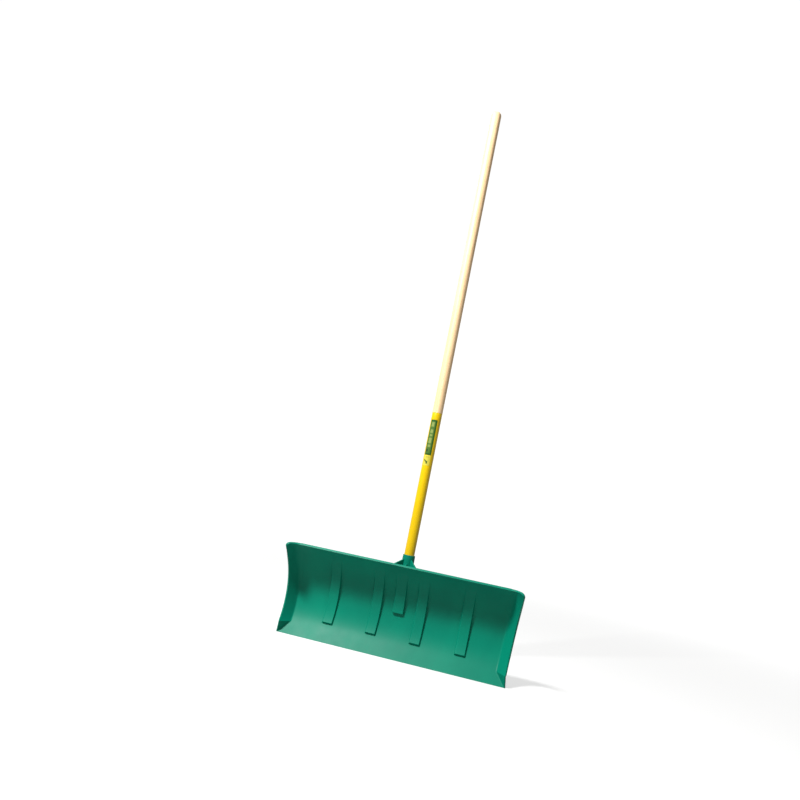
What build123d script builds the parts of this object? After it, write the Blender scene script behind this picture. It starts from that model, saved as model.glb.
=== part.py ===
"""Snow pusher: a curved moulded blade on a straight wooden handle.

Frame: +Z runs up the handle, -Y is the side that pushes the snow and +X is to the right as seen
from that side. The model is drawn with the handle's axis on Z, then every piece is moved along Y
so that the origin is the centre of the footprint, level with the cutting edge.
"""
import os
from math import cos, radians, sin, tan

from build123d import *

# ---- driving dimensions, mm -----------------------------------------------------------------
# blade sheet
blade_width = 612.0         # along the cutting edge
sheet = 3.5                 # wall of the moulding
edge_y = -42.0              # the cutting edge stands this far ahead of the handle's axis
toe_lean = 34.8             # the straight toe leans back from the vertical by this, degrees
toe_length = 37.0
belly_radius = 135.0        # front of the sheet above the toe
belly_angle = 65.5
crown_radius = 239.0        # front of the sheet where it curls over at the top
crown_angle = 21.0
# end walls
wall_run = 25.2             # how far an end wall reaches outwards
wall_rise = 29.9            # and forwards
splay = 2.7                 # the end walls spread apart towards the top, degrees each
corner_radius = 24.0        # top outer corners
# rolled edge along the top and the ends
lip_depth = 8.0
lip_extra = 2.5             # added to the sheet at the back
rim_width = 5.0             # rolled edge down the end walls
# stiffening ribs, pressed forwards and hollow behind
rib_pitch = 121.0
rib_count = 4
rib_foot = 30.0
rib_height = 6.5
rib_bottom = 54.0           # along the sheet, from the cutting edge
rib_fade_start = 150.0      # the ribs sink into the sheet between here
rib_fade_end = 262.0        # and here
rib_side_draft = 3.0
pad_foot = 33.0             # shorter middle rib in front of the socket
pad_bottom = 124.0
hollow_depth = 5.0          # tool behind a rib reaches this far past the sheet
hollow_short = 60.0         # and stops this far before the rib has faded
# handle and its coloured sleeve
grip_radius = 14.0
stem_radius = 13.5          # turned down where the sleeve goes
handle_length = 1340.0
handle_dome = 10.0
handle_chamfer = 2.0
sleeve_wall = 0.3
sleeve_top = 660.0
# socket
socket_bottom = 174.0
socket_top = 270.0
socket_foot_radius = 18.0
socket_mouth_radius = 16.4
bore_clearance = 0.05
socket_floor = 12.0         # the handle stops against this
web = 4.0
web_top = 249.0
web_crest = 266.0           # the side webs' sloping edge would meet the handle's axis here
web_end = (64.0, -78.5, 222.0)      # outer end of each side web
web_rise = 6.0              # the side webs start this far above the socket's foot
web_reach = 120.0           # past the sheet, where the webs are cut
spine_foot = 100.0          # along the sheet, where the lower spine leaves it
clear_along = 220.0         # along the sheet, where the socket is fully behind it
# fixing screw
screw_height = 215.0
screw_radius = 2.25
screw_length = 22.0
screw_clearance = 0.2       # hole through the socket's wall, on the radius
screw_point = 5.0
screw_tip_radius = 0.3
head_radius = 4.6
head_height = 3.0
head_rounding = 1.8
recess = (5.2, 1.2, 1.4)    # cross recess: long, wide, deep
boss_radius = 7.0
boss_stand = 1.0            # flat seat proud of the socket's wall
# printed labels on the sleeve
label_film = 0.2
label_turn = -10.0          # centre of the labels round the handle from -Y, degrees
label_sweep = 78.0
panel_span = (543.0, 640.0)
badge_span = (514.0, 542.0)

sleeve_radius = stem_radius + sleeve_wall
bore_radius = sleeve_radius + bore_clearance
handle_bottom = socket_bottom + socket_floor
seat_y = socket_foot_radius + boss_stand
upright = (Align.CENTER, Align.CENTER, Align.MIN)
belly_end = toe_length + radians(belly_angle) * belly_radius
profile_length = belly_end + radians(crown_angle) * crown_radius
half_width = blade_width / 2
crease_x = half_width - wall_run


# ---- the blade's profile --------------------------------------------------------------------
def profile_point(along, back=0.0):
    """Point of the profile at a distance along the front of the sheet, moved back through it."""
    lean = radians(toe_lean)
    run = min(along, toe_length)
    y = edge_y + run * sin(lean)
    z = run * cos(lean)
    left = along - run
    for radius, angle in ((belly_radius, belly_angle), (crown_radius, crown_angle)):
        turn = min(left / radius, radians(angle))
        y += radius * (cos(lean - turn) - cos(lean))
        z += radius * (sin(lean) - sin(lean - turn))
        lean -= turn
        left = max(0.0, left - radians(angle) * radius)
    return Vector(0, y + back * cos(lean), z - back * sin(lean))


def profile_edges(start, end, back=0.0):
    """The profile between two distances as one line and two arcs, at a constant depth."""
    stops = [start] + [s for s in (toe_length, belly_end) if start < s < end] + [end]
    edges = []
    for first, last in zip(stops, stops[1:]):
        a, b = profile_point(first, back), profile_point(last, back)
        if last <= toe_length:
            edges.append(Line(a, b))
        else:
            edges.append(ThreePointArc(a, profile_point((first + last) / 2, back), b))
    return edges


def band(start, end, front, back):
    """Face in the YZ plane between two depths of the sheet."""
    edges = profile_edges(start, end, front) + profile_edges(start, end, back)
    edges.append(Line(profile_point(start, front), profile_point(start, back)))
    edges.append(Line(profile_point(end, front), profile_point(end, back)))
    return Face(Wire(edges))


def across(face, half):
    """A face of the YZ plane stretched to both sides."""
    return extrude(face, amount=half, dir=(1, 0, 0), both=True)


# ---- sheet and end walls --------------------------------------------------------------------
def curl(thickness, start=toe_length):
    """The sheet from a distance along it to its top edge, cut along the two creases."""
    return across(band(start, profile_length, 0, thickness), half_width) & between_creases()


def crease_point(along):
    """Front of the right-hand crease, which leans outwards as it rises."""
    point = profile_point(along)
    rise = point.Z - profile_point(toe_length).Z
    return point + Vector(crease_x + rise * tan(radians(splay)), 0, 0)


def between_creases():
    """Block as wide as the space between the creases at every height."""
    low, high = crease_point(0), crease_point(profile_length)
    step = (high - low) / (high.Z - low.Z) * sheet
    low, high = low - 2 * step, high + 2 * step
    outline = Polyline((low.X, 0, low.Z), (high.X, 0, high.Z), (-high.X, 0, high.Z), (-low.X, 0, low.Z),
                       close=True)
    return extrude(Face(Wire(outline.edges())), amount=blade_width, dir=(0, 1, 0), both=True)


def plate(corners):
    """Flat plate whose front has these corners and whose thickness lies behind the toe's front."""
    outline = Face(Wire([Line(a, b) for a, b in zip(corners, corners[1:] + corners[:1])]))
    down = -sin(radians(toe_lean))
    behind = Vector(down * tan(radians(splay)), cos(radians(toe_lean)), down)
    return extrude(outline, amount=sheet * behind.length, dir=behind)


def flare(piece, start, end):
    """The right-hand end face of a piece swept along the end wall's reach, between two shares of it."""
    reach = Vector(wall_run, -wall_rise, 0)
    face = piece.faces().sort_by(Axis.X)[-1]
    face = Pos(start * reach.X, start * reach.Y, 0) * face
    return extrude(face, amount=(end - start) * reach.length, dir=reach)


def end_wall():
    """Right-hand end wall: a flared strip, and the two triangles that close its foot."""
    reach = Vector(wall_run, -wall_rise, 0)
    wall = flare(curl(sheet), 0, 1)
    wall += flare(curl(sheet + lip_extra, profile_length - lip_depth), 0, 1)
    wall += flare(curl(sheet + lip_extra), 1 - rim_width / reach.length, 1)
    wall -= corner_cutter(crease_point(profile_length) + reach)
    knee = crease_point(toe_length)
    corner = profile_point(0) + Vector(half_width, 0, 0)
    wall += plate([crease_point(0), corner, knee])
    wall += plate([knee, corner, knee + reach])
    return wall


def corner_cutter(tip):
    """What is left outside the rounded top corner of an end wall."""
    up = crease_point(profile_length) - crease_point(profile_length - 1)
    out = Vector(wall_run, -wall_rise, 0).normalized()
    normal = out.cross(up).normalized()
    corner = Plane(origin=tip, x_dir=out, z_dir=normal)
    square = Pos(-corner_radius, -corner_radius) * Rectangle(
        2 * corner_radius, 2 * corner_radius, align=(Align.MIN, Align.MIN))
    tool = square - Pos(-corner_radius, -corner_radius) * Circle(corner_radius)
    return extrude(corner * tool, amount=corner_radius, both=True)


# ---- ribs -----------------------------------------------------------------------------------
def rib_rise(along):
    """Height of a rib above the sheet: full below, fading out under the top lip."""
    share = (along - rib_fade_start) / (rib_fade_end - rib_fade_start)
    share = min(max(share, 0.0), 1.0)
    return rib_height * (1 - share * share * (3 - 2 * share))


def rib_face(start, end, front_gap, back):
    """Face between the rib's crest, lowered by a gap, and a depth inside the sheet."""
    steps = 8
    stops = [start + (end - start) * i / steps for i in range(steps + 1)]
    crest = Spline(*[profile_point(s, front_gap - rib_rise(s)) for s in stops])
    edges = [crest] + profile_edges(start, end, back)
    edges.append(Line(crest @ 0, profile_point(start, back)))
    edges.append(Line(crest @ 1, profile_point(end, back)))
    return Face(Wire(edges))


def rib(x, foot, bottom):
    body = across(rib_face(bottom, rib_fade_end, 0, sheet / 2), foot / 2)
    sides = body.edges().filter_by(Axis.X, reverse=True).filter_by(GeomType.BSPLINE)
    return Pos(x, 0, 0) * chamfer(sides, rib_side_draft)


def rib_hollow(x, foot, bottom):
    """Groove behind a rib that keeps its wall as thick as the sheet."""
    low, high = bottom + sheet, rib_fade_end - hollow_short
    half = foot / 2 - rib_side_draft - sheet / 2
    return Pos(x, 0, 0) * across(rib_face(low, high, sheet, sheet + hollow_depth), half)


# ---- socket and its webs --------------------------------------------------------------------
def socket():
    height = socket_top - socket_bottom
    body = Pos(0, 0, socket_bottom) * Cone(socket_foot_radius, socket_mouth_radius, height, align=upright)
    boss = Cylinder(boss_radius, seat_y, align=upright)
    return body + Pos(0, 0, screw_height) * Rot(-90, 0, 0) * boss


def behind_sheet():
    """Everything from the middle of the sheet backwards, which the webs are cut to."""
    edges = profile_edges(0, profile_length - lip_depth / 2, sheet / 2)
    start = profile_point(0, sheet / 2)
    end = profile_point(profile_length - lip_depth / 2, sheet / 2)
    back_y = 2 * socket_foot_radius
    edges += [Line(start, (0, back_y, start.Z)), Line(end, (0, back_y, end.Z))]
    edges.append(Line((0, back_y, start.Z), (0, back_y, end.Z)))
    return across(Face(Wire(edges)), crease_x)


def ahead_of_sheet():
    """What lies in front of the middle of the sheet, from the toe to where the socket is behind it."""
    edges = profile_edges(toe_length, clear_along, sheet / 2)
    start = profile_point(toe_length, sheet / 2)
    end = profile_point(clear_along, sheet / 2)
    ahead_y = -web_reach
    edges += [Line(start, (0, ahead_y, start.Z)), Line(end, (0, ahead_y, end.Z))]
    edges.append(Line((0, ahead_y, start.Z), (0, ahead_y, end.Z)))
    return across(Face(Wire(edges)), 2 * socket_foot_radius)


def spine():
    """Web in the middle plane, ahead of the socket above and under its foot below."""
    upper = Polyline((0, 0, web_top), (0, -web_reach, web_top), (0, -web_reach, socket_bottom),
                     (0, 0, socket_bottom), close=True)
    foot = profile_point(spine_foot, sheet / 2)
    lower = Polyline((0, -web_reach, socket_bottom), (0, socket_foot_radius - web, socket_bottom),
                     foot, (0, -web_reach, foot.Z), close=True)
    return across(Face(Wire(upper.edges())), web / 2) + across(Face(Wire(lower.edges())), web / 2)


def side_web():
    """Right-hand web, from the socket forwards and outwards to the curled top of the sheet."""
    end = Vector(*web_end)
    low = socket_bottom + web_rise
    outline = Polyline((0, 0, web_crest), end, (end.X, end.Y, low), (0, 0, low), close=True)
    thick = Vector(end.X, end.Y, 0).cross(Vector(0, 0, 1)).normalized()
    return extrude(Face(Wire(outline.edges())), amount=web / 2, dir=thick, both=True)


def make_blade():
    lip = curl(sheet + lip_extra, profile_length - lip_depth)
    right = end_wall()
    blade = curl(sheet, 0) + lip + right + mirror(right, about=Plane.YZ)
    ribs = [((i - (rib_count - 1) / 2) * rib_pitch, rib_foot, rib_bottom) for i in range(rib_count)]
    ribs.append((0, pad_foot, pad_bottom))
    for place in ribs:
        blade += rib(*place)
    for place in ribs:
        blade -= rib_hollow(*place)
    webs = spine() + side_web() + mirror(side_web(), about=Plane.YZ)
    blade += webs & behind_sheet()
    blade += socket() - ahead_of_sheet()
    bore = Pos(0, 0, handle_bottom) * Cylinder(bore_radius, socket_top, align=upright)
    drill = Cylinder(screw_radius + screw_clearance, 2 * seat_y, align=upright)
    hole = Pos(0, 0, screw_height) * Rot(-90, 0, 0) * drill
    below = Box(2 * blade_width, blade_width, sheet * 4, align=(Align.CENTER, Align.CENTER, Align.MAX))
    return blade - bore - hole - below


# ---- handle, sleeve, labels and screw -------------------------------------------------------
def make_handle():
    stem = sleeve_top - handle_bottom
    stick = Pos(0, 0, handle_bottom) * Cylinder(stem_radius, stem, align=upright)
    stick += Pos(0, 0, sleeve_top) * Cylinder(grip_radius, handle_length - stem, align=upright)
    stick = fillet(stick.edges().group_by(Axis.Z)[-1], handle_dome)
    stick = chamfer(stick.edges().group_by(Axis.Z)[0], handle_chamfer)
    return stick - screw_shank()


def tube(inner, outer, low, high):
    ring = Circle(outer) - Circle(inner)
    return extrude(Pos(0, 0, low) * ring, amount=high - low)


def make_sleeve():
    coat = tube(stem_radius, sleeve_radius, handle_bottom + handle_chamfer, sleeve_top)
    return coat - screw_shank()


def make_label(span):
    """Thin film wrapped part of the way round the sleeve."""
    low, high = span
    ring = tube(sleeve_radius, sleeve_radius + label_film, low, high)
    middle = -90 + label_turn
    rays = [middle - label_sweep / 2, middle, middle + label_sweep / 2]
    reach = 3 * sleeve_radius
    points = [(0, 0)] + [(reach * cos(radians(a)), reach * sin(radians(a))) for a in rays]
    wedge = extrude(Pos(0, 0, low) * make_face(Polyline(*points, close=True)), amount=high - low)
    return ring & wedge


def screw_shank():
    """Shank and point of the screw, in place."""
    straight = screw_length - screw_point
    shank = Cylinder(screw_radius, straight, align=upright)
    point = Pos(0, 0, straight) * Cone(screw_radius, screw_tip_radius, screw_point, align=upright)
    return Pos(0, seat_y, screw_height) * Rot(90, 0, 0) * (shank + point)


def make_screw():
    head = Cylinder(head_radius, head_height, align=upright)
    head = fillet(head.edges().group_by(Axis.Z)[-1], head_rounding)
    long, wide, deep = recess
    cross = Box(long, wide, 2 * deep) + Box(wide, long, 2 * deep)
    head -= Pos(0, 0, head_height) * cross
    return Pos(0, seat_y, screw_height) * Rot(-90, 0, 0) * head + screw_shank()


# ---- assembly -------------------------------------------------------------------------------
parts = {
    "blade": make_blade(),
    "handle": make_handle(),
    "sleeve": make_sleeve(),
    "label_panel": make_label(panel_span),
    "label_badge": make_label(badge_span),
    "fixing_screw": make_screw(),
}
extent = Compound(list(parts.values())).bounding_box()
to_centre = Pos(0, -(extent.min.Y + extent.max.Y) / 2, -extent.min.Z)
print("moved by", to_centre.position)

os.makedirs("parts", exist_ok=True)
for name, piece in parts.items():
    placed = to_centre * piece
    export_step(placed, f"parts/{name}.step")
    box = placed.bounding_box()
    print(name, len(placed.solids()), "solid", round(placed.volume / 1000, 1), "cm3", box.min, box.max)
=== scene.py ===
# %% [markdown]
# # A snow pusher, piece by piece
# A snow pusher is a wide curved blade on a long straight stick. The blade is one moulding of polypropylene
# with flared ends and stiffening ribs, the stick is beech, and its lower part wears a glossy yellow sleeve
# with two printed labels. The CAD frame gives every size and place; this lesson gives the pieces their
# finished shapes and surfaces.

# %% Load the frame
import math

import bmesh
import bpy
from mathutils import Matrix, Vector


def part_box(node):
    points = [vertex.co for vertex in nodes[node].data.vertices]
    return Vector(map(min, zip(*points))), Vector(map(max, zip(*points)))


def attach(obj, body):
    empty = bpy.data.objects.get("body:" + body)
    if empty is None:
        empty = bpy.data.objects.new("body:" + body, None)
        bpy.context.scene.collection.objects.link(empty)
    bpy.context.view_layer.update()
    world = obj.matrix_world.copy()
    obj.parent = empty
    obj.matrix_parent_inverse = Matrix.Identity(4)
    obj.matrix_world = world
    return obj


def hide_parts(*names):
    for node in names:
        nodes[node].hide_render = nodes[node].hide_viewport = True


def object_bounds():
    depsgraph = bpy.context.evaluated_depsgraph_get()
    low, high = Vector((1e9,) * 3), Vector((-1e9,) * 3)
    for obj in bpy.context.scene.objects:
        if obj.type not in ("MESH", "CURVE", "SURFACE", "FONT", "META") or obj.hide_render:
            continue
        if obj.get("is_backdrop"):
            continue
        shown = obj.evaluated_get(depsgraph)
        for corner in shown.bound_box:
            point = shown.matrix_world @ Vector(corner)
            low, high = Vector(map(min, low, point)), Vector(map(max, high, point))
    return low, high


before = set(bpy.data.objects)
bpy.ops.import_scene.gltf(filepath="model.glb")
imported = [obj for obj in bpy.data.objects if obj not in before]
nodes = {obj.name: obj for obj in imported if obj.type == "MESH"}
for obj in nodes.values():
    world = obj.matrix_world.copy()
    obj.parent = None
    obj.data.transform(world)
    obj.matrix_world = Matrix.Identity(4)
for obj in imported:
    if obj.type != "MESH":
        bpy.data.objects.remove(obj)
cad_low, cad_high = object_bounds()
MM = 0.001
handle_low, handle_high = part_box("handle")
axis_y = (handle_low.y + handle_high.y) / 2
print("CAD box, mm:", [round(v / MM, 1) for v in (cad_high - cad_low)])
print("handle axis y, mm:", round(axis_y / MM, 2))

# %% [markdown]
# ## Small helpers
# Three helpers carry the whole lesson. One turns a paint-chart colour into the linear numbers that a shader
# wants. One adds a node with its settings and its links. One turns a finished object into a plain mesh at
# the origin, so that nothing on it is still live.


# %% Colours, nodes and finished meshes
def linear(chart_hex):
    """Linear RGBA of an sRGB hex colour."""
    channels = [int(chart_hex[i:i + 2], 16) / 255 for i in (0, 2, 4)]
    return [c / 12.92 if c <= 0.04045 else ((c + 0.055) / 1.055) ** 2.4 for c in channels] + [1.0]


def add_node(tree, kind, settings=None, inputs=None):
    """Adds a node, sets its properties, and fills its inputs with values or links."""
    node = tree.nodes.new(kind)
    for name, value in (settings or {}).items():
        setattr(node, name, value)
    for key, value in (inputs or {}).items():
        if isinstance(value, bpy.types.NodeSocket):
            tree.links.new(value, node.inputs[key])
        else:
            node.inputs[key].default_value = value
    return node


def new_object(name, mesh):
    piece = bpy.data.objects.new(name, mesh)
    bpy.context.scene.collection.objects.link(piece)
    return piece


def mesh_from(name, points, faces):
    """Mesh from points in metres; doubles are merged and faces turned outwards."""
    made = bmesh.new()
    corners = [made.verts.new(p) for p in points]
    for face in faces:
        made.faces.new([corners[i] for i in face])
    bmesh.ops.remove_doubles(made, verts=made.verts, dist=0.002 * MM)
    bmesh.ops.recalc_face_normals(made, faces=made.faces)
    mesh = bpy.data.meshes.new(name)
    made.to_mesh(mesh)
    made.free()
    return mesh


def bake(piece, crease_degrees=35):
    """Replaces a live piece by its plain mesh, smooth except where it turns by more than an angle."""
    graph = bpy.context.evaluated_depsgraph_get()
    mesh = bpy.data.meshes.new_from_object(piece.evaluated_get(graph))
    piece.modifiers.clear()
    piece.data = mesh
    mesh.polygons.foreach_set("use_smooth", [True] * len(mesh.polygons))
    mesh.set_sharp_from_angle(angle=math.radians(crease_degrees))
    print(piece.name, "faces:", len(mesh.polygons))
    return piece


def finish_piece(piece, node, material):
    """The piece rides on the one rigid body, hides the CAD node that it replaces, and takes its material."""
    piece.data.materials.clear()
    piece.data.materials.append(material)
    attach(piece, "root")
    if node:
        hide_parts(node)


print("helpers ready")

# %% [markdown]
# ## Light, floor and camera
# A studio hides its floor's far edge by bending it up into a wall. Here that sweep is a round bowl, so the
# paper is behind the tool from every side. It glows less towards the tool than towards the camera, and
# least in front of the tool, so that the paper is white while the shadows keep their depth. One square soft
# box stands high on the left and in front, and pale air fills in. The camera stands a little above the
# blade, to the right of the middle, and is rolled so that the straight tool leans in its picture.

# %% Studio bowl
BOWL_FLOOR, BOWL_BEND, BOWL_TOP = 4.0, 1.6, 9.0


def bowl_outline():
    points = [(0.0, 0.0), (1.0, 0.0), (2.5, 0.0), (BOWL_FLOOR, 0.0)]
    for step in range(1, 17):
        turn = math.radians(90 * step / 16)
        points.append((BOWL_FLOOR + BOWL_BEND * math.sin(turn), BOWL_BEND * (1 - math.cos(turn))))
    points.append((BOWL_FLOOR + BOWL_BEND, BOWL_TOP))
    return points


def swept_round(outline, segments):
    """Points and faces of an open outline turned about the vertical."""
    points = [(0.0, 0.0, outline[0][1])]
    faces = []
    for radius, height in outline[1:]:
        for k in range(segments):
            angle = 2 * math.pi * k / segments
            points.append((radius * math.cos(angle), radius * math.sin(angle), height))
    for k in range(segments):
        after = (k + 1) % segments
        faces.append((0, 1 + k, 1 + after))
        for row in range(len(outline) - 2):
            base = 1 + row * segments
            faces.append((base + k, base + segments + k, base + segments + after, base + after))
    return points, faces


bowl_mesh = bpy.data.meshes.new("studio_bowl")
bowl_points, bowl_faces = swept_round(bowl_outline(), 96)
bowl_mesh.from_pydata(bowl_points, [], bowl_faces)
bowl_mesh.polygons.foreach_set("use_smooth", [True] * len(bowl_mesh.polygons))
bowl = new_object("studio_bowl", bowl_mesh)
bowl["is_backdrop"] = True

paper = bpy.data.materials.new("matt_white_background_paper")
paper.use_nodes = True
paper_shader = paper.node_tree.nodes["Principled BSDF"]
paper_shader.inputs["Base Color"].default_value = linear("949493")
paper_shader.inputs["Roughness"].default_value = 0.9
paper_shader.inputs["Specular IOR Level"].default_value = 0.1
paper_shader.inputs["Emission Color"].default_value = linear("FFFFFF")
paper_tree = paper.node_tree
paper_place = add_node(paper_tree, "ShaderNodeTexCoord").outputs["Object"]
paper_away = add_node(paper_tree, "ShaderNodeVectorMath", {"operation": "LENGTH"}, {0: paper_place})
paper_glow = add_node(paper_tree, "ShaderNodeMapRange", {"interpolation_type": "SMOOTHSTEP"}, {
    "Value": paper_away.outputs["Value"], "From Min": 0.6, "From Max": BOWL_FLOOR,
    "To Min": 0.62, "To Max": 0.90})
paper_sides = add_node(paper_tree, "ShaderNodeSeparateXYZ", None, {"Vector": paper_place})
paper_fill = add_node(paper_tree, "ShaderNodeMapRange", {"interpolation_type": "SMOOTHSTEP"}, {
    "Value": paper_sides.outputs["Y"], "From Min": -1.8, "From Max": -0.7, "To Min": 0.14, "To Max": 0.40})
paper_seen = add_node(paper_tree, "ShaderNodeLightPath").outputs["Is Camera Ray"]
paper_share = add_node(paper_tree, "ShaderNodeMapRange", None, {
    "Value": paper_seen, "To Min": paper_fill.outputs[0], "To Max": 1.0})
paper_light = add_node(paper_tree, "ShaderNodeMath", {"operation": "MULTIPLY"}, {
    0: paper_glow.outputs[0], 1: paper_share.outputs[0]})
paper_tree.links.new(paper_light.outputs[0], paper_shader.inputs["Emission Strength"])
bowl_mesh.materials.append(paper)
print("bowl is", 2 * (BOWL_FLOOR + BOWL_BEND), "m across")

# %% Soft box and pale air
LIGHT_AZIMUTH = math.radians(36)     # towards the left of the blade
LIGHT_HEIGHT = math.radians(51)
LIGHT_DISTANCE, LIGHT_SIZE, LIGHT_WATTS = 2.6, 0.34, 132.0

aim = Vector((0, 0, 120 * MM))
towards_light = Vector((
    -math.sin(LIGHT_AZIMUTH) * math.cos(LIGHT_HEIGHT),
    -math.cos(LIGHT_AZIMUTH) * math.cos(LIGHT_HEIGHT),
    math.sin(LIGHT_HEIGHT),
))
soft_box = bpy.data.lights.new("soft_box", "AREA")
soft_box.shape = "SQUARE"
soft_box.size = LIGHT_SIZE
soft_box.energy = LIGHT_WATTS
soft_box_object = bpy.data.objects.new("soft_box", soft_box)
soft_box_object.location = aim + LIGHT_DISTANCE * towards_light
soft_box_object.rotation_euler = towards_light.to_track_quat("Z", "Y").to_euler()
bpy.context.scene.collection.objects.link(soft_box_object)

air = bpy.data.worlds.new("pale_air")
air.use_nodes = True
air.node_tree.nodes["Background"].inputs["Color"].default_value = linear("FBFCFF")
air.node_tree.nodes["Background"].inputs["Strength"].default_value = 0.45
bpy.context.scene.world = air
bpy.context.scene.view_settings.view_transform = "Standard"
print("soft box at", [round(v, 2) for v in soft_box_object.location])

# %% Camera
CAMERA_PLACE = Vector((253.2 * MM, -1559.2 * MM + axis_y, 374.5 * MM))
CAMERA_TURN = math.radians(10.96)    # to the left, about the vertical
CAMERA_RISE = math.radians(3.27)     # above the horizon
CAMERA_ROLL = math.radians(11.32)

camera = bpy.data.cameras.new("camera")
camera.lens = 26.36
camera.sensor_width = 36.0
camera.shift_x = -0.0075
camera.shift_y = 0.1006
camera.clip_end = 50.0
camera_object = bpy.data.objects.new("camera", camera)
bpy.context.scene.collection.objects.link(camera_object)
bpy.context.scene.camera = camera_object
look = (
    Matrix.Rotation(CAMERA_TURN, 4, "Z")
    @ Matrix.Rotation(math.pi / 2 + CAMERA_RISE, 4, "X")
    @ Matrix.Rotation(CAMERA_ROLL, 4, "Z")
)
camera_object.matrix_world = Matrix.Translation(CAMERA_PLACE) @ look
print("camera at", [round(v, 3) for v in CAMERA_PLACE])

# %% [markdown]
# ## The blade's profile
# Seen from the end, the sheet is a straight toe, a round belly and a gentler crown that curls forwards. One
# function walks along that line and answers three questions at any distance: how far back, how high, and
# how far the sheet leans. Everything else on the blade is measured from it.

# %% Profile
SHEET = 3.5
EDGE_Y = -42.0                       # the cutting edge, ahead of the handle's axis
TOE_LENGTH, TOE_LEAN = 37.0, math.radians(34.8)
ARCS = ((135.0, math.radians(65.5)), (239.0, math.radians(21.0)))
PROFILE_LENGTH = TOE_LENGTH + sum(radius * angle for radius, angle in ARCS)


def profile(along):
    """How far back, how high, and the lean, at a distance along the front of the sheet, mm."""
    run = min(along, TOE_LENGTH)
    lean = TOE_LEAN
    back = EDGE_Y + run * math.sin(lean)
    up = run * math.cos(lean)
    left = max(0.0, along - TOE_LENGTH)
    for radius, angle in ARCS:
        turn = min(left / radius, angle)
        back += radius * (math.cos(lean - turn) - math.cos(lean))
        up += radius * (math.sin(lean) - math.sin(lean - turn))
        lean -= turn
        left = max(0.0, left - radius * angle)
    return back, up, lean


top_back, top_up, _ = profile(PROFILE_LENGTH)
print("profile:", round(PROFILE_LENGTH, 1), "mm long, top at", round(top_back, 1), round(top_up, 1))

# %% [markdown]
# ## Rows and columns of the sheet
# A moulded sheet is one skin, so it is one grid. Rows follow the profile upwards; columns run from the
# middle to the tip of an end wall. Both crowd together where the surface turns quickly: beside a rib, at a
# rib's foot, in the creases, and at the rounded outer corner. Plain even spacing would need ten times the
# faces.

# %% Rows
RIB_PITCH, RIB_COUNT = 121.0, 4
RIB_FOOT, RIB_HEIGHT, RIB_DRAFT = 31.0, 6.5, 3.0
RIB_BOTTOM, RIB_FADE_START, RIB_FADE_END = 54.0, 150.0, 262.0
PAD_FOOT, PAD_BOTTOM = 33.0, 124.0   # the shorter middle rib
FOOT_SLOPE = 1.2                     # half the length of a rib's steep foot


def crowd(low, high, step):
    count = max(1, round((high - low) / step))
    return [low + (high - low) * i / count for i in range(count)]


rows = (
    crowd(0.0, 6.0, 1.5) + crowd(6.0, RIB_BOTTOM - 4.0, 4.0) + crowd(RIB_BOTTOM - 4.0, RIB_BOTTOM + 3.0, 0.5)
    + crowd(RIB_BOTTOM + 3.0, PAD_BOTTOM - 4.0, 4.0) + crowd(PAD_BOTTOM - 4.0, PAD_BOTTOM + 3.0, 0.5)
    + crowd(PAD_BOTTOM + 3.0, PROFILE_LENGTH - 12.0, 3.5)
    + crowd(PROFILE_LENGTH - 12.0, PROFILE_LENGTH, 1.5) + [PROFILE_LENGTH]
)
toe_row = min(range(len(rows)), key=lambda i: abs(rows[i] - TOE_LENGTH))
rows[toe_row] = TOE_LENGTH
print(len(rows), "rows")

# %% Columns
FLAT_TO = 250.0                      # beyond this the columns stretch with the crease
rib_places = [(i - (RIB_COUNT - 1) / 2) * RIB_PITCH for i in range(RIB_COUNT)]
beside_rib = [RIB_FOOT / 2 + d for d in (1.0, 0.3, -0.2, -0.8, -1.4, -2.0, -2.6, -3.2, -4.0)]
half_columns = {0.0, 4.0, 8.0, 11.0, 22.5, 25.0} | {d + (PAD_FOOT - RIB_FOOT) / 2 for d in beside_rib}
for place in rib_places:
    if place > 0:
        half_columns.update(place + side * d for side in (-1, 1) for d in beside_rib)
        half_columns.update((place, place - 6.0, place + 6.0))
half_columns.update(range(30, 42, 4))
half_columns.update((82.0, 90.0, 98.0, 106.0, 114.0, 122.0, 130.0, 138.0, 146.0, 156.0))
half_columns.update((201.0, 209.0, 217.0, 225.0, 233.0, 241.0, FLAT_TO))
columns = [("flat", x) for x in sorted(x for x in half_columns if x <= FLAT_TO)]
columns += [("stretch", share) for share in (0.33, 0.67, 1.0)]
columns += [("crease", share / 8) for share in range(1, 9)]
columns += [("wall", math.sin(math.radians(90 * i / 12))) for i in range(1, 13)]
print(len(columns), "columns on each side")

# %% [markdown]
# ## Crease, end wall and rolled rim
# The end wall leaves the floor at a soft crease and flares forwards and outwards. Below the knee the fold
# runs diagonally to the corner of the cutting edge. The crease is tight at the foot and opens out towards
# the top, as such mouldings do so that they leave the tool easily. The rim is a little thicker, which
# stiffens it.

# %% Place of any column on any row
HALF_WIDTH = 306.0
KNEE_X = 280.8
SPLAY = math.tan(math.radians(2.7))
WALL_REACH = Vector((21.2, -29.9, 0.0))
CORNER_RADIUS = 24.0
CREASE_TIGHT, CREASE_OPEN = 2.6, 13.1        # size of the crease's round at the foot and at the top
TOP_RIM_EXTRA, END_RIM_EXTRA, RIM_WIDTH = 2.2, 1.7, 5.0
CORNER_STARTS = PROFILE_LENGTH - 50.0
KNEE_UP = profile(TOE_LENGTH)[1]


def smooth_step(value, low, high):
    share = min(max((value - low) / (high - low), 0.0), 1.0)
    return share * share * (3 - 2 * share)


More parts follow.
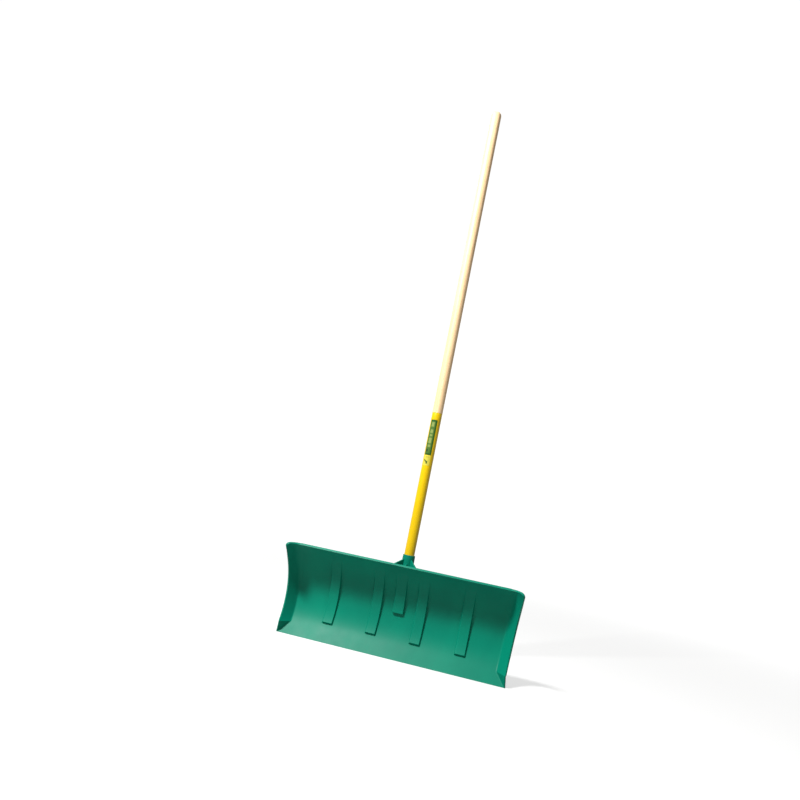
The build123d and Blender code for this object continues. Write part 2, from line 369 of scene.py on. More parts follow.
def row_facts(along):
    """Crease place, reach of the wall and softness of the crease on a row."""
    share = max(min(along / TOE_LENGTH, 1.0), 0.05)
    reach = WALL_REACH.length * share
    rise = profile(along)[1] - KNEE_UP
    crease = KNEE_X + SPLAY * rise if along > TOE_LENGTH else HALF_WIDTH + (KNEE_X - HALF_WIDTH) * share
    softness = CREASE_TIGHT + (CREASE_OPEN - CREASE_TIGHT) * smooth_step(along, 95.0, 230.0)
    return crease, reach, min(softness, 0.42 * reach)


def skin_point(column, along):
    """Front of the right half of the sheet, mm, with how far it is from the free rim."""
    kind, value = column
    crease, reach, softness = row_facts(along)
    out = WALL_REACH.normalized()
    starts = crease - softness
    if kind == "flat":
        x, forward, gone = value, 0.0, 0.0
    elif kind == "stretch":
        x, forward, gone = FLAT_TO + value * (starts - FLAT_TO), 0.0, 0.0
    elif kind == "crease":
        gone = softness * value * value
        x = starts + 2 * value * (1 - value) * softness + value * value * (softness + out.x * softness)
        forward = value * value * out.y * softness
    else:
        gone = softness + (reach - softness) * value
        x, forward = crease + out.x * gone, out.y * gone
    to_tip = reach - gone if kind in ("crease", "wall") else WALL_REACH.length + crease - x
    top = PROFILE_LENGTH
    if to_tip < CORNER_RADIUS:
        top -= CORNER_RADIUS - math.sqrt(CORNER_RADIUS ** 2 - (CORNER_RADIUS - to_tip) ** 2)
    if along > CORNER_STARTS:
        squeeze = (top - CORNER_STARTS) / (PROFILE_LENGTH - CORNER_STARTS)
        along = CORNER_STARTS + (along - CORNER_STARTS) * squeeze
    back, up, _ = profile(along)
    if kind == "wall" and along > TOE_LENGTH:
        shift = SPLAY * (up - KNEE_UP) - (row_facts(along)[0] - KNEE_X)
        x += shift
    rim = min(top - along, to_tip if along > TOE_LENGTH + 3 else 99.0)
    return Vector((x, back + forward, up)), rim, along


crease_ends = [round(row_facts(along)[0], 1) for along in (0, PROFILE_LENGTH)]
print("crease goes from and to, mm from the middle:", crease_ends)

# %% [markdown]
# ## Skin of the blade
# The front is the grid of those places. The back is the same grid moved through the wall along the
# surface's own direction, and strips along the four free edges close the skin. Three numbers are stored on
# every point for the ribs that follow: how far across, how far along, and which way is forwards.

# %% Grid, thickness and edges
sides = [(-1, c) for c in reversed(columns[1:])] + [(1, c) for c in columns]
front, rims, alongs = [], [], []
for along in rows:
    made = [skin_point(column, along) for _, column in sides]
    front.append([Vector((side * p.x, p.y, p.z)) for (side, _), (p, _, _) in zip(sides, made)])
    rims.append([rim for _, rim, _ in made])
    alongs.append([walked for _, _, walked in made])

ahead = []
for i in range(len(rows)):
    line = []
    for j in range(len(sides)):
        up = front[min(i + 1, len(rows) - 1)][j] - front[max(i - 1, 0)][j]
        over = front[i][min(j + 1, len(sides) - 1)] - front[i][max(j - 1, 0)]
        line.append(over.cross(up).normalized())
    ahead.append(line)

back_skin = []
for i in range(len(rows)):
    line = []
    for j in range(len(sides)):
        extra = TOP_RIM_EXTRA if abs(front[i][j].x) < KNEE_X else END_RIM_EXTRA
        wall = SHEET + extra * (1 - smooth_step(rims[i][j], RIM_WIDTH, RIM_WIDTH + 3.0))
        point = front[i][j] - ahead[i][j] * wall
        line.append(Vector((point.x, point.y, max(point.z, 0.0))))
    back_skin.append(line)

print("sheet grid", len(rows), "by", len(sides))


# %% Close the skin
def skin_mesh():
    wide, tall = len(sides), len(rows)
    points = [p for line in front for p in line] + [p for line in back_skin for p in line]
    far = wide * tall
    faces = []
    for i in range(tall - 1):
        for j in range(wide - 1):
            a = i * wide + j
            faces.append((a, a + 1, a + wide + 1, a + wide))
            faces.append((far + a, far + a + wide, far + a + wide + 1, far + a + 1))
    for j in range(wide - 1):
        low, high = j, (tall - 1) * wide + j
        faces.append((low, far + low, far + low + 1, low + 1))
        faces.append((high, high + 1, far + high + 1, far + high))
    for i in range(tall - 1):
        left, right = i * wide, i * wide + wide - 1
        faces.append((left, left + wide, far + left + wide, far + left))
        faces.append((right, far + right, far + right + wide, right + wide))
    placed = [(Vector((p.x, p.y, p.z)) * MM + Vector((0, axis_y, 0))) for p in points]
    mesh = bpy.data.meshes.new("blade")
    mesh.from_pydata(placed, [], faces)
    across = mesh.attributes.new("across", "FLOAT", "POINT")
    walked = mesh.attributes.new("walked", "FLOAT", "POINT")
    forwards = mesh.attributes.new("forwards", "FLOAT_VECTOR", "POINT")
    across.data.foreach_set("value", [p.x * MM for p in points])
    walked.data.foreach_set("value", [a * MM for _ in (0, 1) for line in alongs for a in line])
    forwards.data.foreach_set("vector", [v for _ in (0, 1) for line in ahead for n in line for v in n])
    rim_weight = mesh.attributes.new("bevel_weight_edge", "FLOAT", "EDGE")
    edge_row = {(i, j) for i in (0, tall - 1) for j in range(wide)}
    edge_row |= {(i, j) for j in (0, wide - 1) for i in range(tall)}
    weights = []
    for edge in mesh.edges:
        ends = [(v % far // wide, v % wide) for v in edge.vertices]
        same_side = (edge.vertices[0] < far) == (edge.vertices[1] < far)
        weights.append(1.0 if same_side and all(end in edge_row for end in ends) else 0.0)
    rim_weight.data.foreach_set("value", weights)
    return mesh


blade = new_object("blade_shell", skin_mesh())
print("skin:", len(blade.data.vertices), "points")

# %% [markdown]
# ## Ribs by rule
# The four ribs are one rule repeated: full height over a flat crest, a drafted side, a steep foot, and a
# long fade under the top rim. Geometry Nodes can hold that rule with named sizes, so a different pitch or
# height is one number. The sheet's back is lifted by the same rule, so the ribs stay hollow and the wall
# stays even. The same rule with other sizes makes the short middle rib, which starts half-way up in front
# of the socket.

# %% Rib rule in Geometry Nodes
green_plastic = bpy.data.materials.new("moulded_polypropylene_green")
rib_rule = bpy.data.node_groups.new("pressed_ribs", "GeometryNodeTree")
rib_rule.interface.new_socket("Geometry", in_out="INPUT", socket_type="NodeSocketGeometry")
rib_rule.interface.new_socket("Geometry", in_out="OUTPUT", socket_type="NodeSocketGeometry")
rib_sizes = {
    "Pitch": RIB_PITCH, "Half Row": RIB_PITCH * RIB_COUNT / 2, "Height": RIB_HEIGHT,
    "Half Foot": RIB_FOOT / 2, "Half Crest": RIB_FOOT / 2 - RIB_DRAFT,
    "Foot Starts": RIB_BOTTOM - FOOT_SLOPE, "Foot Ends": RIB_BOTTOM + FOOT_SLOPE,
    "Fade Starts": RIB_FADE_START, "Fade Ends": RIB_FADE_END,
}
rib_sockets = {
    name: rib_rule.interface.new_socket(name, in_out="INPUT", socket_type="NodeSocketFloat")
    for name in rib_sizes
}
given = add_node(rib_rule, "NodeGroupInput").outputs
across_node = add_node(
    rib_rule, "GeometryNodeInputNamedAttribute", {"data_type": "FLOAT"}, {"Name": "across"})
walked_node = add_node(
    rib_rule, "GeometryNodeInputNamedAttribute", {"data_type": "FLOAT"}, {"Name": "walked"})
forwards_node = add_node(
    rib_rule, "GeometryNodeInputNamedAttribute", {"data_type": "FLOAT_VECTOR"}, {"Name": "forwards"})
across_value, walked_value = across_node.outputs["Attribute"], walked_node.outputs["Attribute"]
from_left = add_node(
    rib_rule, "ShaderNodeMath", {"operation": "ADD"}, {0: across_value, 1: given["Half Row"]})
half_pitch = add_node(rib_rule, "ShaderNodeMath", {"operation": "MULTIPLY"}, {0: given["Pitch"], 1: 0.5})
from_gap = add_node(
    rib_rule, "ShaderNodeMath", {"operation": "FLOORED_MODULO"}, {0: from_left.outputs[0], 1: given["Pitch"]})
off_centre = add_node(
    rib_rule, "ShaderNodeMath", {"operation": "SUBTRACT"}, {0: from_gap.outputs[0], 1: half_pitch.outputs[0]})
distance = add_node(rib_rule, "ShaderNodeMath", {"operation": "ABSOLUTE"}, {0: off_centre.outputs[0]})
side_rise = add_node(rib_rule, "ShaderNodeMapRange", {"interpolation_type": "SMOOTHSTEP"}, {
    "Value": distance.outputs[0], "From Min": given["Half Foot"], "From Max": given["Half Crest"]})
foot_rise = add_node(rib_rule, "ShaderNodeMapRange", {"interpolation_type": "SMOOTHSTEP"}, {
    "Value": walked_value, "From Min": given["Foot Starts"], "From Max": given["Foot Ends"]})
fade = add_node(rib_rule, "ShaderNodeMapRange", {"interpolation_type": "SMOOTHSTEP"}, {
    "Value": walked_value, "From Min": given["Fade Ends"], "From Max": given["Fade Starts"]})
past_row = add_node(rib_rule, "ShaderNodeMath", {"operation": "ABSOLUTE"}, {0: across_value})
in_row = add_node(
    rib_rule, "ShaderNodeMath", {"operation": "LESS_THAN"}, {0: past_row.outputs[0], 1: given["Half Row"]})
lift = given["Height"]
for share in (side_rise.outputs[0], foot_rise.outputs[0], fade.outputs[0], in_row.outputs[0]):
    lift = add_node(rib_rule, "ShaderNodeMath", {"operation": "MULTIPLY"}, {0: lift, 1: share}).outputs[0]
offset = add_node(rib_rule, "ShaderNodeVectorMath", {"operation": "SCALE"}, {
    0: forwards_node.outputs["Attribute"], "Scale": lift})
raised = add_node(rib_rule, "GeometryNodeSetPosition", None, {
    "Geometry": given["Geometry"], "Offset": offset.outputs["Vector"]})
realised = add_node(rib_rule, "GeometryNodeRealizeInstances", None, {"Geometry": raised.outputs["Geometry"]})
painted = add_node(rib_rule, "GeometryNodeSetMaterial", None, {
    "Geometry": realised.outputs["Geometry"], "Material": green_plastic})
add_node(rib_rule, "NodeGroupOutput", None, {0: painted.outputs["Geometry"]})

pad_sizes = {
    "Pitch": 2 * PAD_FOOT, "Half Row": PAD_FOOT, "Height": RIB_HEIGHT, "Half Foot": PAD_FOOT / 2,
    "Half Crest": PAD_FOOT / 2 - RIB_DRAFT,
    "Foot Starts": PAD_BOTTOM - FOOT_SLOPE, "Foot Ends": PAD_BOTTOM + FOOT_SLOPE,
    "Fade Starts": RIB_FADE_START, "Fade Ends": RIB_FADE_END,
}
for title, sizes in (("four_ribs", rib_sizes), ("middle_rib", pad_sizes)):
    pressed = blade.modifiers.new(title, "NODES")
    pressed.node_group = rib_rule
    for name, size in sizes.items():
        pressed[rib_sockets[name].identifier] = size * MM
print("ribs at", rib_places, "mm and a short one in the middle")

# %% Round the free edges
RIM_ROUND = 1.1
rounding = blade.modifiers.new("rounded_rim", "BEVEL")
rounding.limit_method = "WEIGHT"
rounding.width = RIM_ROUND * MM
rounding.segments = 3
rounding.use_clamp_overlap = True
bake(blade, 38)

# %% [markdown]
# ## Socket and webs
# Behind the sheet stands the tube that grips the stick, closed at its foot, with a flat seat for the screw.
# Four webs tie it to the sheet: two in the middle, in front of the tube and under its foot, and one to each
# side. The side ones show beside the socket above the rim. A turned outline makes the tube; each web is a
# flat outline with thickness and a rounded edge.


# %% Turned pieces
def turned(name, outline, segments, loop=False):
    """Mesh of an outline of (radius, height) in mm turned about the handle's axis."""
    points, faces, rings = [], [], []
    for radius, height in outline:
        count = 1 if radius < 0.001 else segments
        ring = []
        for k in range(count):
            angle = 2 * math.pi * k / segments
            spot = Vector((radius * math.cos(angle), radius * math.sin(angle), height)) * MM
            ring.append(len(points))
            points.append(spot + Vector((0, axis_y, 0)))
        rings.append(ring)
    pairs = list(zip(rings, rings[1:])) + ([(rings[-1], rings[0])] if loop else [])
    for lower, upper in pairs:
        for k in range(segments):
            after = (k + 1) % segments
            quad = [lower[k % len(lower)], lower[after % len(lower)]]
            quad += [upper[after % len(upper)], upper[k % len(upper)]]
            faces.append(list(dict.fromkeys(quad)))
    return mesh_from(name, points, faces)


def arc(centre_radius, centre_height, radius, start, end, steps):
    """Points on a quarter round, from one angle in degrees to another."""
    angles = [math.radians(start + (end - start) * i / steps) for i in range(steps + 1)]
    return [(centre_radius + radius * math.cos(a), centre_height + radius * math.sin(a)) for a in angles]


SOCKET_BOTTOM, SOCKET_TOP = 174.0, 270.0
SOCKET_FOOT_RADIUS, SOCKET_MOUTH_RADIUS = 18.0, 16.4
BORE_RADIUS, SOCKET_FLOOR = 13.85, 12.0


def socket_radius(up):
    share = (up - SOCKET_BOTTOM) / (SOCKET_TOP - SOCKET_BOTTOM)
    return SOCKET_FOOT_RADIUS + (SOCKET_MOUTH_RADIUS - SOCKET_FOOT_RADIUS) * share


handle_foot = SOCKET_BOTTOM + SOCKET_FLOOR
socket_outline = [(0.0, SOCKET_BOTTOM), (8.0, SOCKET_BOTTOM)]
socket_outline += arc(SOCKET_FOOT_RADIUS - 1.5, SOCKET_BOTTOM + 1.5, 1.5, -90, 0, 4)
socket_outline += [(socket_radius(h), h) for h in range(184, 268, 12)]
socket_outline += arc(SOCKET_MOUTH_RADIUS - 0.7, SOCKET_TOP - 0.7, 0.7, 0, 90, 4)
socket_outline += arc(BORE_RADIUS + 0.6, SOCKET_TOP - 0.6, 0.6, 90, 180, 3)
socket_outline += [(BORE_RADIUS, handle_foot), (0.0, handle_foot)]
socket_tube = new_object("socket_tube", turned("socket_tube", socket_outline, 96))
print("socket from", SOCKET_BOTTOM, "to", SOCKET_TOP, "mm")


# %% Webs
def middle_of_sheet(up):
    """How far back the middle of the sheet is at a height, mm, found by halving."""
    low, high = 0.0, PROFILE_LENGTH
    for _ in range(30):
        half = (low + high) / 2
        low, high = (half, high) if profile(half)[1] < up else (low, half)
    back, _, lean = profile(low)
    return back + SHEET / 2 / math.cos(lean)


def web(name, outline, direction, thickness):
    """Flat web: outline of (distance from the axis, height), standing along a direction in plan."""
    along = Vector((direction[0], direction[1], 0)).normalized()
    across = Vector((along.y, -along.x, 0))
    points = []
    for side in (-0.5, 0.5):
        for out, up in outline:
            spot = along * out + across * side * thickness + Vector((0, 0, up))
            points.append(spot * MM + Vector((0, axis_y, 0)))
    count = len(outline)
    faces = [tuple(range(count)), tuple(range(count, 2 * count))]
    faces += [(k, (k + 1) % count, count + (k + 1) % count, count + k) for k in range(count)]
    piece = new_object(name, mesh_from(name, points, faces))
    edges = piece.modifiers.new("rounded", "BEVEL")
    edges.width = 0.9 * MM
    edges.segments = 2
    edges.limit_method = "ANGLE"
    edges.angle_limit = math.radians(50)
    return piece


WEB, WEB_TOP, WEB_CREST = 4.0, 249.0, 266.0
SIDE_END = (64.0, -78.5, 222.0)
INSIDE_SOCKET = 10.0                 # webs start this far from the axis, hidden in the tube
SPINE_BACK = -14.0                   # the lower web runs this far behind the axis
slope = math.hypot(SIDE_END[0], SIDE_END[1]) / -SIDE_END[1]


def side_web_outline():
    end = math.hypot(SIDE_END[0], SIDE_END[1])
    fall = (SIDE_END[2] - WEB_CREST) / end
    points = [(INSIDE_SOCKET, WEB_CREST + fall * INSIDE_SOCKET)]
    for up in range(236, 178, -6):
        out = -middle_of_sheet(up) * slope
        if up <= WEB_CREST + fall * out:
            points.append((out, up))
    points.append((INSIDE_SOCKET, SOCKET_BOTTOM + 8))
    return points


def along_sheet(heights):
    """Points of the middle web where it meets the sheet."""
    return [(-middle_of_sheet(up), up) for up in heights]


spine_top = [(INSIDE_SOCKET, WEB_TOP)] + along_sheet((236, 230, 224, 216, 208, 200, 192, 184))
spine_top += [(INSIDE_SOCKET, SOCKET_BOTTOM + 4)]
spine_foot = [(SPINE_BACK, SOCKET_BOTTOM + 3), (SPINE_BACK, SOCKET_BOTTOM)]
spine_foot += along_sheet((100, 107, 114, 122, 131, 141, 152, 163, SOCKET_BOTTOM + 3))
webs = [
    web("spine_above", spine_top, (0, -1), WEB),
    web("spine_below", spine_foot, (0, -1), WEB),
    web("web_right", side_web_outline(), SIDE_END[:2], WEB),
    web("web_left", side_web_outline(), (-SIDE_END[0], SIDE_END[1]), WEB),
]
print(len(webs), "webs")

# %% Screw seat and joining
SCREW_HEIGHT, SEAT_RADIUS, SEAT_BACK, SCREW_HOLE = 215.0, 7.0, 19.0, 2.45
seat_outline = [(0.0, 12.0), (SEAT_RADIUS, 12.0), (SEAT_RADIUS, 15.0)]
seat_outline += arc(SEAT_RADIUS - 0.6, SEAT_BACK - 0.6, 0.6, 0, 90, 3)
seat_outline += [(SCREW_HOLE, SEAT_BACK), (SCREW_HOLE, 14.0), (0.0, 14.0)]
seat_mesh = turned("screw_seat", seat_outline, 48)
place_seat = (
    Matrix.Translation((0, axis_y, SCREW_HEIGHT * MM)) @ Matrix.Rotation(-math.pi / 2, 4, "X")
    @ Matrix.Translation((0, -axis_y, 0))
)
seat_mesh.transform(place_seat)
screw_seat = new_object("screw_seat", seat_mesh)

for piece in webs + [socket_tube, screw_seat]:
    bake(piece, 35)


def join(pieces):
    """Joins plain meshes into the first one."""
    with bpy.context.temp_override(
            active_object=pieces[0], object=pieces[0], selected_objects=pieces,
            selected_editable_objects=pieces):
        bpy.ops.object.join()
    return pieces[0]


join([blade, socket_tube, screw_seat] + webs)
print("blade now has", len(blade.data.polygons), "faces")

# %% [markdown]
# ## Handle, sleeve and labels
# The stick is turned from one length of beech, 28 mm across, with a domed top. The sleeve is a thin glossy
# skin over its lower part. Each label is a film that wraps part of the way round, so it is a strip of the
# same circle, just proud of the sleeve, with its own across-and-up coordinates for the print.

# %% Stick and sleeve
GRIP_RADIUS, STEM_RADIUS, DOME = 14.0, 13.5, 10.0
SLEEVE_WALL, SLEEVE_TOP = 0.3, 660.0
stick_top = handle_high.z / MM
stick_outline = [(0.0, handle_foot), (STEM_RADIUS - 2.0, handle_foot), (STEM_RADIUS, handle_foot + 2.0)]
stick_outline += [(STEM_RADIUS, SLEEVE_TOP), (GRIP_RADIUS - 0.15, SLEEVE_TOP)]
stick_outline += [(GRIP_RADIUS, SLEEVE_TOP + 0.15)]
stick_outline += [(GRIP_RADIUS, SLEEVE_TOP + (stick_top - DOME - SLEEVE_TOP) * i / 30) for i in range(1, 30)]
stick_outline += arc(GRIP_RADIUS - DOME, stick_top - DOME, DOME, 0, 90, 10) + [(0.0, stick_top)]
stick = new_object("beech_stick", turned("beech_stick", stick_outline, 64))
bake(stick, 35)

sleeve_foot = handle_foot + 2.0
outer = STEM_RADIUS + SLEEVE_WALL
sleeve_outline = [(STEM_RADIUS, sleeve_foot), (outer, sleeve_foot)]
sleeve_outline += [(outer, sleeve_foot + (SLEEVE_TOP - sleeve_foot - 0.3) * i / 30) for i in range(1, 31)]
sleeve_outline += [(outer - 0.08, SLEEVE_TOP - 0.06), (STEM_RADIUS + 0.06, SLEEVE_TOP)]
sleeve_outline += [(STEM_RADIUS, SLEEVE_TOP)]
sleeve = new_object("yellow_sleeve", turned("yellow_sleeve", sleeve_outline, 64, loop=True))
bake(sleeve, 35)
print("stick top at", stick_top, "mm, sleeve top at", SLEEVE_TOP, "mm")

# %% Label films
LABEL_FILM, LABEL_TURN, LABEL_SWEEP = 0.2, -10.0, 78.0
PANEL_SPAN, BADGE_SPAN = (543.0, 640.0), (514.0, 542.0)


def label_film(name, span):
    """Closed curved film with a UV map: across the label in U, up it in V."""
    across_steps, up_steps = 24, 8
    made = bmesh.new()
    prints = {}
    for layer, radius in enumerate((outer, outer + LABEL_FILM)):
        for i in range(up_steps + 1):
            for j in range(across_steps + 1):
                share, height = j / across_steps, i / up_steps
                angle = math.radians(-90 + LABEL_TURN + LABEL_SWEEP * (share - 0.5))
                spot = Vector((radius * math.cos(angle), radius * math.sin(angle),
                               span[0] + (span[1] - span[0]) * height)) * MM
                corner = made.verts.new(spot + Vector((0, axis_y, 0)))
                prints[corner] = (share, height)
                prints[(layer, i, j)] = corner
    spot = prints.get
    for i in range(up_steps):
        for j in range(across_steps):
            for layer in (0, 1):
                made.faces.new([spot((layer, i, j)), spot((layer, i, j + 1)), spot((layer, i + 1, j + 1)),
                                spot((layer, i + 1, j))])
    for j in range(across_steps):
        for i in (0, up_steps):
            made.faces.new([spot((0, i, j)), spot((0, i, j + 1)), spot((1, i, j + 1)), spot((1, i, j))])
    for i in range(up_steps):
        for j in (0, across_steps):
            made.faces.new([spot((0, i, j)), spot((0, i + 1, j)), spot((1, i + 1, j)), spot((1, i, j))])
    uv = made.loops.layers.uv.new("print")
    bmesh.ops.recalc_face_normals(made, faces=made.faces)
    for face in made.faces:
        for loop in face.loops:
            loop[uv].uv = prints[loop.vert]
    mesh = bpy.data.meshes.new(name)
    made.to_mesh(mesh)
    made.free()
    return bake(new_object(name, mesh), 35)


panel = label_film("label_panel_film", PANEL_SPAN)
badge = label_film("label_badge_film", BADGE_SPAN)
print("labels", PANEL_SPAN, BADGE_SPAN)

# %% [markdown]
# ## Materials
# Every finish starts as the real thing: what it is, how its surface was made, and what the eye gets from
# that. Patterns are sized in millimetres. A noise texture's scale is how many lumps fit in a metre, so one
# small function turns a lump's size in millimetres into it.


# %% Pattern sizes and a clean shader
def per_metre(size_mm):
    return 1000.0 / size_mm


def clean_shader(material):
    """A material's tree with only a shader, and the place of each point on the piece."""
    material.use_nodes = True
    tree = material.node_tree
    tree.nodes.clear()
    shader = add_node(tree, "ShaderNodeBsdfPrincipled")
    add_node(tree, "ShaderNodeOutputMaterial", None, {"Surface": shader.outputs["BSDF"]})
    where = add_node(tree, "ShaderNodeTexCoord").outputs
    return tree, shader, where


def noise(tree, place, size_mm, detail=2.0, stretch=(1, 1, 1)):
    """Noise whose lumps are this big, stretched along any axis."""
    mapped = add_node(tree, "ShaderNodeMapping", None, {"Vector": place, "Scale": stretch})
    made = add_node(tree, "ShaderNodeTexNoise", None, {
        "Vector": mapped.outputs["Vector"], "Scale": per_metre(size_mm), "Detail": detail})
    return made.outputs["Fac"]


print("one 5 mm lump is scale", per_metre(5))

# %% [markdown]
# ### Moulded polypropylene, green
# Polypropylene from a satin tool: even colour through its depth, a broad soft highlight, and a grain too
# fine to see except as a slight break-up of the shine. Faint cloudy flow marks come from the plastic
# filling the mould.

# %% Green polypropylene
tree, shader, where = clean_shader(green_plastic)
flow = noise(tree, where["Object"], 90, 3.0, (1, 1, 0.5))
clouds = add_node(tree, "ShaderNodeValToRGB", None, {"Fac": flow})
clouds.color_ramp.elements[0].position = 0.35
clouds.color_ramp.elements[0].color = linear("006A55")
clouds.color_ramp.elements[1].position = 0.68
clouds.color_ramp.elements[1].color = linear("00715A")
tree.links.new(clouds.outputs["Color"], shader.inputs["Base Color"])
shine = add_node(tree, "ShaderNodeMapRange", None, {
    "Value": noise(tree, where["Object"], 30, 4.0), "To Min": 0.40, "To Max": 0.50})
tree.links.new(shine.outputs[0], shader.inputs["Roughness"])
shader.inputs["IOR"].default_value = 1.49
shader.inputs["Specular IOR Level"].default_value = 0.11
grain = add_node(tree, "ShaderNodeBump", None, {
    "Height": noise(tree, where["Object"], 0.9, 2.0), "Strength": 0.10, "Distance": 0.05 * MM})
tree.links.new(grain.outputs["Normal"], shader.inputs["Normal"])
finish_piece(blade, "blade", green_plastic)
print("green plastic done")

# %% [markdown]
# ### Beech, sanded and sealed
# Beech is pale and close-grained. Long soft bands follow the stick, and short thin flecks, a few
# millimetres long, are its rays cut open. The seal gives a low, smooth sheen. The flecks are drawn a little
# wider than real ones, so that they still show at this distance.

# %% Beech
beech = bpy.data.materials.new("sanded_beech")
tree, shader, where = clean_shader(beech)
bands = noise(tree, where["Object"], 5.0, 3.0, (1, 1, 0.035))
pores = noise(tree, where["Object"], 0.9, 2.0, (1, 1, 0.03))
flecks = noise(tree, where["Object"], 1.1, 1.0, (1, 1, 0.16))
wood_bands = add_node(tree, "ShaderNodeValToRGB", None, {"Fac": bands})
wood_bands.color_ramp.elements[0].position = 0.32
wood_bands.color_ramp.elements[0].color = linear("CEAB80")
wood_bands.color_ramp.elements[1].position = 0.66
wood_bands.color_ramp.elements[1].color = linear("D9BC93")
fleck_mask = add_node(tree, "ShaderNodeMapRange", {"interpolation_type": "SMOOTHSTEP"}, {
    "Value": flecks, "From Min": 0.62, "From Max": 0.70, "To Min": 0.0, "To Max": 0.55})
flecked = add_node(tree, "ShaderNodeMix", {"data_type": "RGBA"}, {
    0: fleck_mask.outputs[0], 6: wood_bands.outputs["Color"], 7: linear("A98053")})
pore_mask = add_node(tree, "ShaderNodeMapRange", None, {
    "Value": pores, "From Min": 0.45, "From Max": 0.75, "To Min": 0.0, "To Max": 0.35})
pored = add_node(tree, "ShaderNodeMix", {"data_type": "RGBA"}, {
    0: pore_mask.outputs[0], 6: flecked.outputs[2], 7: linear("B38F63")})
tree.links.new(pored.outputs[2], shader.inputs["Base Color"])
sheen = add_node(tree, "ShaderNodeMapRange", None, {"Value": bands, "To Min": 0.42, "To Max": 0.55})
tree.links.new(sheen.outputs[0], shader.inputs["Roughness"])
shader.inputs["Specular IOR Level"].default_value = 0.30
wood_bump = add_node(tree, "ShaderNodeBump", None, {"Height": pores, "Strength": 0.25, "Distance": 0.08 * MM})
tree.links.new(wood_bump.outputs["Normal"], shader.inputs["Normal"])
finish_piece(stick, "handle", beech)
print("beech done")

# %% [markdown]
# ### Glossy yellow sleeve
# A coloured plastic skin drawn tight over the wood. It is smooth enough to carry a long narrow highlight,
# with a faint waviness from the grain underneath that makes the highlight wander.

# %% Yellow skin
yellow_skin = bpy.data.materials.new("glossy_yellow_plastic_skin")
tree, shader, where = clean_shader(yellow_skin)
tint = add_node(tree, "ShaderNodeValToRGB", None, {"Fac": noise(tree, where["Object"], 60, 2.0, (1, 1, 0.4))})
tint.color_ramp.elements[0].position = 0.3
tint.color_ramp.elements[0].color = linear("C2A000")
tint.color_ramp.elements[1].position = 0.7
tint.color_ramp.elements[1].color = linear("C9A800")
tree.links.new(tint.outputs["Color"], shader.inputs["Base Color"])
smear = add_node(tree, "ShaderNodeMapRange", None, {
    "Value": noise(tree, where["Object"], 12, 3.0), "To Min": 0.26, "To Max": 0.38})
tree.links.new(smear.outputs[0], shader.inputs["Roughness"])
shader.inputs["IOR"].default_value = 1.5
shader.inputs["Specular IOR Level"].default_value = 0.30
waves = add_node(tree, "ShaderNodeBump", None, {
    "Height": noise(tree, where["Object"], 4.0, 2.0, (1, 1, 0.08)), "Strength": 0.2, "Distance": 0.1 * MM})
tree.links.new(waves.outputs["Normal"], shader.inputs["Normal"])
finish_piece(sleeve, "sleeve", yellow_skin)
print("yellow skin done")

# %% [markdown]
# ### Printed films
# The tall label is dark green with a lighter block of plain bars inside a border; the small one is pale
# with one dark wedge. They are printed flat, so the pattern is drawn in the film's own coordinates with
# steps that are 1 inside a range and 0 outside. The shapes are only shapes: no letters and no mark of any
# maker.


# %% Inside a range
def inside(tree, value, low, high, soft=0.02):
    """1 between two numbers, 0 outside, with a soft printed edge."""
    rise = add_node(tree, "ShaderNodeMapRange", {"interpolation_type": "SMOOTHSTEP"}, {
        "Value": value, "From Min": low - soft, "From Max": low + soft})
    fall = add_node(tree, "ShaderNodeMapRange", {"interpolation_type": "SMOOTHSTEP"}, {
        "Value": value, "From Min": high + soft, "From Max": high - soft})
    return add_node(tree, "ShaderNodeMath", {"operation": "MULTIPLY"}, {
        0: rise.outputs[0], 1: fall.outputs[0]}).outputs[0]


def both(tree, first, second, operation="MULTIPLY"):
    return add_node(tree, "ShaderNodeMath", {"operation": operation, "use_clamp": True}, {
        0: first, 1: second}).outputs[0]


def over(tree, share, below, above):
    """One ink printed over another where the share is 1."""
    return add_node(tree, "ShaderNodeMix", {"data_type": "RGBA"}, {0: share, 6: below, 7: above}).outputs[2]


print("print helpers ready")

# %% Tall label
panel_print = bpy.data.materials.new("dark_green_printed_film")
tree, shader, where = clean_shader(panel_print)
split = add_node(tree, "ShaderNodeSeparateXYZ", None, {"Vector": where["UV"]}).outputs
ink = linear("1D4A12")
block = both(tree, inside(tree, split["X"], 0.12, 0.80), inside(tree, split["Y"], 0.05, 0.95, 0.008))
ink = over(tree, both(tree, block, 0.45), ink, linear("546F2A"))
for low, high in ((0.80, 0.93), (0.62, 0.72), (0.53, 0.585), (0.33, 0.485), (0.22, 0.29)):
    bar = both(tree, inside(tree, split["X"], 0.24, 0.66, 0.05), inside(tree, split["Y"], low, high, 0.012))
    ink = over(tree, both(tree, bar, 0.6), ink, linear("8A9650"))
wedge = both(tree, inside(tree, split["X"], 0.14, 0.40, 0.04), inside(tree, split["Y"], 0.09, 0.16, 0.015))
ink = over(tree, wedge, ink, linear("16301F"))
tree.links.new(ink, shader.inputs["Base Color"])
gloss = add_node(tree, "ShaderNodeMapRange", None, {
    "Value": noise(tree, where["Object"], 6, 2.0), "To Min": 0.26, "To Max": 0.36})
tree.links.new(gloss.outputs[0], shader.inputs["Roughness"])
finish_piece(panel, "label_panel", panel_print)
print("tall label printed")

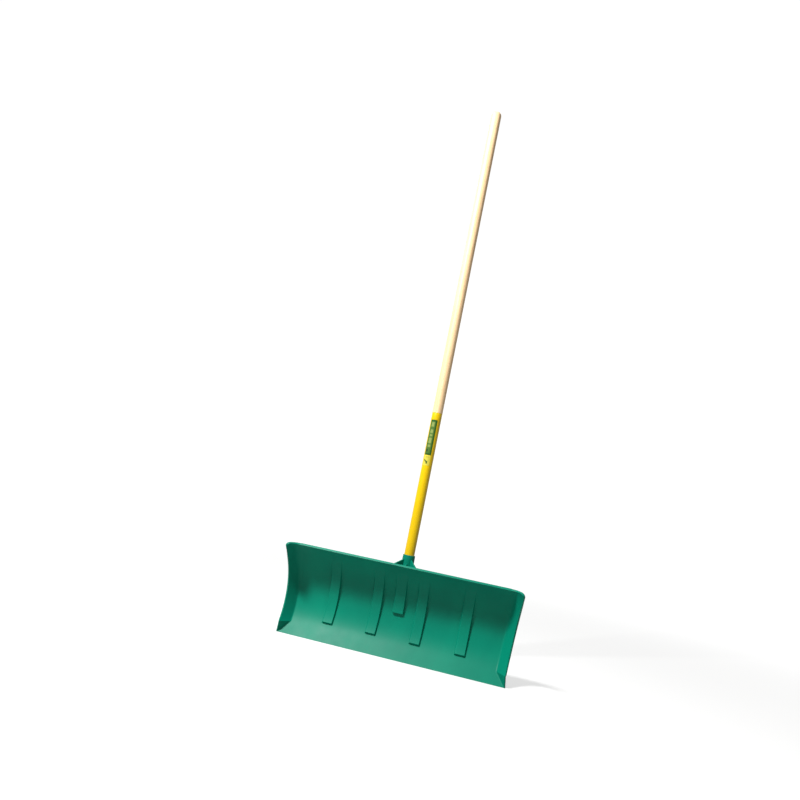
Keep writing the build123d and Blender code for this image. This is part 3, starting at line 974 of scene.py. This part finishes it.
# %% Small label
badge_print = bpy.data.materials.new("pale_green_printed_film")
tree, shader, where = clean_shader(badge_print)
split = add_node(tree, "ShaderNodeSeparateXYZ", None, {"Vector": where["UV"]}).outputs
ink = linear("BFB23C")
frame_ink = both(tree, inside(tree, split["X"], 0.06, 0.84), inside(tree, split["Y"], 0.10, 0.92, 0.02))
ink = over(tree, both(tree, frame_ink, 0.45), ink, linear("A3A03C"))
slant = add_node(tree, "ShaderNodeMath", {"operation": "MULTIPLY_ADD"}, {
    0: split["X"], 1: 0.55, 2: split["Y"]})
stroke = both(
    tree, inside(tree, slant.outputs[0], 0.56, 0.70, 0.03), inside(tree, split["X"], 0.10, 0.64, 0.03))
foot_dot = both(tree, inside(tree, split["X"], 0.46, 0.66, 0.03), inside(tree, split["Y"], 0.18, 0.44, 0.03))
ink = over(tree, both(tree, stroke, foot_dot, "MAXIMUM"), ink, linear("2F4A14"))
line_ink = both(tree, inside(tree, split["X"], 0.30, 0.74, 0.03), inside(tree, split["Y"], 0.80, 0.86, 0.02))
ink = over(tree, both(tree, line_ink, 0.6), ink, linear("7C5A14"))
tree.links.new(ink, shader.inputs["Base Color"])
gloss = add_node(tree, "ShaderNodeMapRange", None, {
    "Value": noise(tree, where["Object"], 6, 2.0), "To Min": 0.26, "To Max": 0.36})
tree.links.new(gloss.outputs[0], shader.inputs["Roughness"])
finish_piece(badge, "label_badge", badge_print)
print("small label printed")

# %% [markdown]
# ### Zinc-plated screw
# The screw keeps its CAD shape. Zinc plate is a grey metal with a faint blue cast, not quite even, and its
# crystals break the shine into small patches.

# %% Zinc
zinc = bpy.data.materials.new("zinc_plated_steel")
tree, shader, where = clean_shader(zinc)
patches = noise(tree, where["Object"], 1.2, 3.0)
plate = add_node(tree, "ShaderNodeValToRGB", None, {"Fac": patches})
plate.color_ramp.elements[0].position = 0.3
plate.color_ramp.elements[0].color = linear("A9ABAB")
plate.color_ramp.elements[1].position = 0.7
plate.color_ramp.elements[1].color = linear("C9CCCD")
tree.links.new(plate.outputs["Color"], shader.inputs["Base Color"])
shader.inputs["Metallic"].default_value = 1.0
worn = add_node(tree, "ShaderNodeMapRange", None, {"Value": patches, "To Min": 0.28, "To Max": 0.5})
tree.links.new(worn.outputs[0], shader.inputs["Roughness"])
screw = nodes["fixing_screw"]
for socket in screw.material_slots:
    socket.material = zinc
if not screw.material_slots:
    screw.data.materials.append(zinc)
print("zinc done")

# %% [markdown]
# ## Sizes
# The box of the finished shapes is measured and kept beside the CAD model's box.
# The finished shapes must stay inside the CAD model's box.

# %% Measure the finished box
seen_low, seen_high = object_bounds()
sizes = {
    "cad_low": list(cad_low), "cad_high": list(cad_high),
    "visual_low": list(seen_low), "visual_high": list(seen_high),
}
print("visual box, mm:", [round(v / MM, 1) for v in (seen_high - seen_low)])
